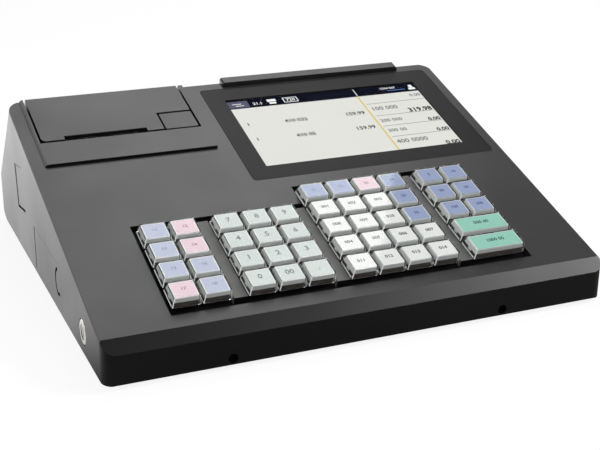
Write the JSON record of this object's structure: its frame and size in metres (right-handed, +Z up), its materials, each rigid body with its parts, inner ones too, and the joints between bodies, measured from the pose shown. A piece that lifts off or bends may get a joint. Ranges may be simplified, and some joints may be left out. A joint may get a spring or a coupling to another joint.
{
  "type": "ticket register",
  "caption": "Countertop ticket register with sloped deck, relegendable keypad, tilted colour display, receipt printer and pop-up customer display.",
  "frame": {"origin": "centre of the footprint on the counter, under the rubber feet", "axes": "+X to the operator's right, -Y towards the operator, +Z up"},
  "size_m": [0.332, 0.304, 0.1054],
  "materials": {
    "case_plastic": "fine moulded texture",
    "dark_plastic": "satin",
    "sheet_steel": "bare rolled sheet and zinc screws",
    "display_glass": "smoked gloss panel",
    "display_lit": "lit liquid crystal screen",
    "chrome_lock": "polished",
    "foot_rubber": "matt",
    "board_green": "solder mask",
    "receipt_paper": "thermal paper",
    "pale_blue_key": "clear cap over a coloured label",
    "blue_key": "clear cap over a coloured label",
    "pink_key": "clear cap over a coloured label",
    "pale_green_key": "clear cap over a printed label",
    "white_key": "clear cap over a printed label",
    "teal_key": "clear cap over a coloured label"
  },
  "bodies": {
    "housing": {"top_cover": "case_plastic", "bottom_case": "case_plastic", "key_plate": "sheet_steel", "key_spacers": "case_plastic", "display_window": "display_glass", "display_panel": "display_lit", "print_unit": "dark_plastic", "lock_barrel": "chrome_lock", "rubber_feet": "foot_rubber", "case_screws": "sheet_steel", "main_board": "board_green"},
    "lid": {"printer_lid": "case_plastic"},
    "platen": {"platen_roller": "foot_rubber"},
    "lid_button": {"lid_button": "case_plastic"},
    "paper_roll": {"paper_roll": "receipt_paper"},
    "customer_display": {"customer_display": "case_plastic"},
    "lock_plug": {"lock_plug": "chrome_lock"},
    "port_door": {"port_door": "case_plastic"},
    "side_cover": {"side_cover": "case_plastic"},
    "key_function_7": {"key_function_7": "pink_key"},
    "key_function_8": {"key_function_8": "pale_blue_key"},
    "key_function_5": {"key_function_5": "pale_blue_key"},
    "key_function_6": {"key_function_6": "pale_blue_key"},
    "key_function_3": {"key_function_3": "pale_blue_key"},
    "key_function_4": {"key_function_4": "pink_key"},
    "key_function_1": {"key_function_1": "pale_blue_key"},
    "key_function_2": {"key_function_2": "pink_key"},
    "key_number_0": {"key_number_0": "pale_green_key"},
    "key_number_00": {"key_number_00": "pale_green_key"},
    "key_number_point": {"key_number_point": "pale_green_key"},
    "key_number_1": {"key_number_1": "pale_green_key"},
    "key_number_2": {"key_number_2": "pale_green_key"},
    "key_number_3": {"key_number_3": "pale_green_key"},
    "key_number_4": {"key_number_4": "pale_green_key"},
    "key_number_5": {"key_number_5": "pale_green_key"},
    "key_number_6": {"key_number_6": "pale_green_key"},
    "key_number_7": {"key_number_7": "pale_green_key"},
    "key_number_8": {"key_number_8": "pale_green_key"},
    "key_number_9": {"key_number_9": "pale_green_key"},
    "key_department_1": {"key_department_1": "blue_key"},
    "key_department_2": {"key_department_2": "blue_key"},
    "key_department_3": {"key_department_3": "pink_key"},
    "key_department_4": {"key_department_4": "blue_key"},
    "key_department_5": {"key_department_5": "blue_key"},
    "key_department_6": {"key_department_6": "blue_key"},
    "key_item_1": {"key_item_1": "white_key"},
    "key_item_2": {"key_item_2": "white_key"},
    "key_item_3": {"key_item_3": "white_key"},
    "key_item_4": {"key_item_4": "white_key"},
    "key_item_5": {"key_item_5": "white_key"},
    "key_item_6": {"key_item_6": "white_key"},
    "key_item_7": {"key_item_7": "white_key"},
    "key_payment_1": {"key_payment_1": "blue_key"},
    "key_payment_2": {"key_payment_2": "blue_key"},
    "key_payment_3": {"key_payment_3": "blue_key"},
    "key_payment_4": {"key_payment_4": "blue_key"},
    "key_payment_5": {"key_payment_5": "blue_key"},
    "key_payment_6": {"key_payment_6": "blue_key"},
    "key_subtotal": {"key_subtotal": "teal_key"},
    "key_total": {"key_total": "teal_key"}
  },
  "joints": [
    {"name": "lid_hinge", "type": "hinge", "parent": "housing", "child": "lid", "pos_m": [-0.0979, 0.10128, 0.09238], "axis": [-1, 0, 0], "range_deg": [0, 80]},
    {"name": "platen_axle", "type": "hinge", "parent": "lid", "child": "platen", "pos_m": [-0.10855, 0.052, 0.077], "axis": [1, 0, 0], "continuous": true},
    {"name": "lid_button_press", "type": "slide", "parent": "housing", "child": "lid_button", "axis": [0, 0.2895, -0.9572], "range_m": [0, 0.002], "stiffness_N_per_m": 400, "springref_m": -0.004},
    {"name": "paper_roll_spindle", "type": "hinge", "parent": "housing", "child": "paper_roll", "pos_m": [-0.10855, 0.0805, 0.0626], "axis": [1, 0, 0], "continuous": true},
    {"name": "customer_display_rise", "type": "slide", "parent": "housing", "child": "customer_display", "axis": [0, 0, 1], "range_m": [0, 0.04]},
    {"name": "lock_turn", "type": "hinge", "parent": "housing", "child": "lock_plug", "pos_m": [-0.166, -0.1053, 0.0168], "axis": [1, 0, 0], "range_deg": [0, 90]},
    {"name": "port_door_hinge", "type": "hinge", "parent": "housing", "child": "port_door", "pos_m": [-0.16465, 0.06399, 0.03616], "axis": [0, -0.9882, 0.153], "range_deg": [0, 90]},
    {"name": "side_cover_pull", "type": "slide", "parent": "housing", "child": "side_cover", "axis": [-1, 0, 0], "range_m": [0, 0.025]},
    {"name": "key_function_7_press", "type": "slide", "parent": "housing", "child": "key_function_7", "axis": [0, 0.2895, -0.9572], "range_m": [0, 0.0035], "stiffness_N_per_m": 150, "springref_m": -0.003},
    {"name": "key_function_8_press", "type": "slide", "parent": "housing", "child": "key_function_8", "axis": [0, 0.2895, -0.9572], "range_m": [0, 0.0035], "stiffness_N_per_m": 150, "springref_m": -0.003},
    {"name": "key_function_5_press", "type": "slide", "parent": "housing", "child": "key_function_5", "axis": [0, 0.2895, -0.9572], "range_m": [0, 0.0035], "stiffness_N_per_m": 150, "springref_m": -0.003},
    {"name": "key_function_6_press", "type": "slide", "parent": "housing", "child": "key_function_6", "axis": [0, 0.2895, -0.9572], "range_m": [0, 0.0035], "stiffness_N_per_m": 150, "springref_m": -0.003},
    {"name": "key_function_3_press", "type": "slide", "parent": "housing", "child": "key_function_3", "axis": [0, 0.2895, -0.9572], "range_m": [0, 0.0035], "stiffness_N_per_m": 150, "springref_m": -0.003},
    {"name": "key_function_4_press", "type": "slide", "parent": "housing", "child": "key_function_4", "axis": [0, 0.2895, -0.9572], "range_m": [0, 0.0035], "stiffness_N_per_m": 150, "springref_m": -0.003},
    {"name": "key_function_1_press", "type": "slide", "parent": "housing", "child": "key_function_1", "axis": [0, 0.2895, -0.9572], "range_m": [0, 0.0035], "stiffness_N_per_m": 150, "springref_m": -0.003},
    {"name": "key_function_2_press", "type": "slide", "parent": "housing", "child": "key_function_2", "axis": [0, 0.2895, -0.9572], "range_m": [0, 0.0035], "stiffness_N_per_m": 150, "springref_m": -0.003},
    {"name": "key_number_0_press", "type": "slide", "parent": "housing", "child": "key_number_0", "axis": [0, 0.2895, -0.9572], "range_m": [0, 0.0035], "stiffness_N_per_m": 150, "springref_m": -0.003},
    {"name": "key_number_00_press", "type": "slide", "parent": "housing", "child": "key_number_00", "axis": [0, 0.2895, -0.9572], "range_m": [0, 0.0035], "stiffness_N_per_m": 150, "springref_m": -0.003},
    {"name": "key_number_point_press", "type": "slide", "parent": "housing", "child": "key_number_point", "axis": [0, 0.2895, -0.9572], "range_m": [0, 0.0035], "stiffness_N_per_m": 150, "springref_m": -0.003},
    {"name": "key_number_1_press", "type": "slide", "parent": "housing", "child": "key_number_1", "axis": [0, 0.2895, -0.9572], "range_m": [0, 0.0035], "stiffness_N_per_m": 150, "springref_m": -0.003},
    {"name": "key_number_2_press", "type": "slide", "parent": "housing", "child": "key_number_2", "axis": [0, 0.2895, -0.9572], "range_m": [0, 0.0035], "stiffness_N_per_m": 150, "springref_m": -0.003},
    {"name": "key_number_3_press", "type": "slide", "parent": "housing", "child": "key_number_3", "axis": [0, 0.2895, -0.9572], "range_m": [0, 0.0035], "stiffness_N_per_m": 150, "springref_m": -0.003},
    {"name": "key_number_4_press", "type": "slide", "parent": "housing", "child": "key_number_4", "axis": [0, 0.2895, -0.9572], "range_m": [0, 0.0035], "stiffness_N_per_m": 150, "springref_m": -0.003},
    {"name": "key_number_5_press", "type": "slide", "parent": "housing", "child": "key_number_5", "axis": [0, 0.2895, -0.9572], "range_m": [0, 0.0035], "stiffness_N_per_m": 150, "springref_m": -0.003},
    {"name": "key_number_6_press", "type": "slide", "parent": "housing", "child": "key_number_6", "axis": [0, 0.2895, -0.9572], "range_m": [0, 0.0035], "stiffness_N_per_m": 150, "springref_m": -0.003},
    {"name": "key_number_7_press", "type": "slide", "parent": "housing", "child": "key_number_7", "axis": [0, 0.2895, -0.9572], "range_m": [0, 0.0035], "stiffness_N_per_m": 150, "springref_m": -0.003},
    {"name": "key_number_8_press", "type": "slide", "parent": "housing", "child": "key_number_8", "axis": [0, 0.2895, -0.9572], "range_m": [0, 0.0035], "stiffness_N_per_m": 150, "springref_m": -0.003},
    {"name": "key_number_9_press", "type": "slide", "parent": "housing", "child": "key_number_9", "axis": [0, 0.2895, -0.9572], "range_m": [0, 0.0035], "stiffness_N_per_m": 150, "springref_m": -0.003},
    {"name": "key_department_1_press", "type": "slide", "parent": "housing", "child": "key_department_1", "axis": [0, 0.2895, -0.9572], "range_m": [0, 0.0035], "stiffness_N_per_m": 150, "springref_m": -0.003},
    {"name": "key_department_2_press", "type": "slide", "parent": "housing", "child": "key_department_2", "axis": [0, 0.2895, -0.9572], "range_m": [0, 0.0035], "stiffness_N_per_m": 150, "springref_m": -0.003},
    {"name": "key_department_3_press", "type": "slide", "parent": "housing", "child": "key_department_3", "axis": [0, 0.2895, -0.9572], "range_m": [0, 0.0035], "stiffness_N_per_m": 150, "springref_m": -0.003},
    {"name": "key_department_4_press", "type": "slide", "parent": "housing", "child": "key_department_4", "axis": [0, 0.2895, -0.9572], "range_m": [0, 0.0035], "stiffness_N_per_m": 150, "springref_m": -0.003},
    {"name": "key_department_5_press", "type": "slide", "parent": "housing", "child": "key_department_5", "axis": [0, 0.2895, -0.9572], "range_m": [0, 0.0035], "stiffness_N_per_m": 150, "springref_m": -0.003},
    {"name": "key_department_6_press", "type": "slide", "parent": "housing", "child": "key_department_6", "axis": [0, 0.2895, -0.9572], "range_m": [0, 0.0035], "stiffness_N_per_m": 150, "springref_m": -0.003},
    {"name": "key_item_1_press", "type": "slide", "parent": "housing", "child": "key_item_1", "axis": [0, 0.2895, -0.9572], "range_m": [0, 0.0035], "stiffness_N_per_m": 260, "springref_m": -0.003},
    {"name": "key_item_2_press", "type": "slide", "parent": "housing", "child": "key_item_2", "axis": [0, 0.2895, -0.9572], "range_m": [0, 0.0035], "stiffness_N_per_m": 260, "springref_m": -0.003},
    {"name": "key_item_3_press", "type": "slide", "parent": "housing", "child": "key_item_3", "axis": [0, 0.2895, -0.9572], "range_m": [0, 0.0035], "stiffness_N_per_m": 260, "springref_m": -0.003},
    {"name": "key_item_4_press", "type": "slide", "parent": "housing", "child": "key_item_4", "axis": [0, 0.2895, -0.9572], "range_m": [0, 0.0035], "stiffness_N_per_m": 260, "springref_m": -0.003},
    {"name": "key_item_5_press", "type": "slide", "parent": "housing", "child": "key_item_5", "axis": [0, 0.2895, -0.9572], "range_m": [0, 0.0035], "stiffness_N_per_m": 260, "springref_m": -0.003},
    {"name": "key_item_6_press", "type": "slide", "parent": "housing", "child": "key_item_6", "axis": [0, 0.2895, -0.9572], "range_m": [0, 0.0035], "stiffness_N_per_m": 260, "springref_m": -0.003},
    {"name": "key_item_7_press", "type": "slide", "parent": "housing", "child": "key_item_7", "axis": [0, 0.2895, -0.9572], "range_m": [0, 0.0035], "stiffness_N_per_m": 260, "springref_m": -0.003},
    {"name": "key_payment_1_press", "type": "slide", "parent": "housing", "child": "key_payment_1", "axis": [0, 0.2895, -0.9572], "range_m": [0, 0.0035], "stiffness_N_per_m": 150, "springref_m": -0.003},
    {"name": "key_payment_2_press", "type": "slide", "parent": "housing", "child": "key_payment_2", "axis": [0, 0.2895, -0.9572], "range_m": [0, 0.0035], "stiffness_N_per_m": 150, "springref_m": -0.003},
    {"name": "key_payment_3_press", "type": "slide", "parent": "housing", "child": "key_payment_3", "axis": [0, 0.2895, -0.9572], "range_m": [0, 0.0035], "stiffness_N_per_m": 150, "springref_m": -0.003},
    {"name": "key_payment_4_press", "type": "slide", "parent": "housing", "child": "key_payment_4", "axis": [0, 0.2895, -0.9572], "range_m": [0, 0.0035], "stiffness_N_per_m": 150, "springref_m": -0.003},
    {"name": "key_payment_5_press", "type": "slide", "parent": "housing", "child": "key_payment_5", "axis": [0, 0.2895, -0.9572], "range_m": [0, 0.0035], "stiffness_N_per_m": 150, "springref_m": -0.003},
    {"name": "key_payment_6_press", "type": "slide", "parent": "housing", "child": "key_payment_6", "axis": [0, 0.2895, -0.9572], "range_m": [0, 0.0035], "stiffness_N_per_m": 150, "springref_m": -0.003},
    {"name": "key_subtotal_press", "type": "slide", "parent": "housing", "child": "key_subtotal", "axis": [0, 0.2895, -0.9572], "range_m": [0, 0.0035], "stiffness_N_per_m": 260, "springref_m": -0.003},
    {"name": "key_total_press", "type": "slide", "parent": "housing", "child": "key_total", "axis": [0, 0.2895, -0.9572], "range_m": [0, 0.0035], "stiffness_N_per_m": 260, "springref_m": -0.003}
  ]
}
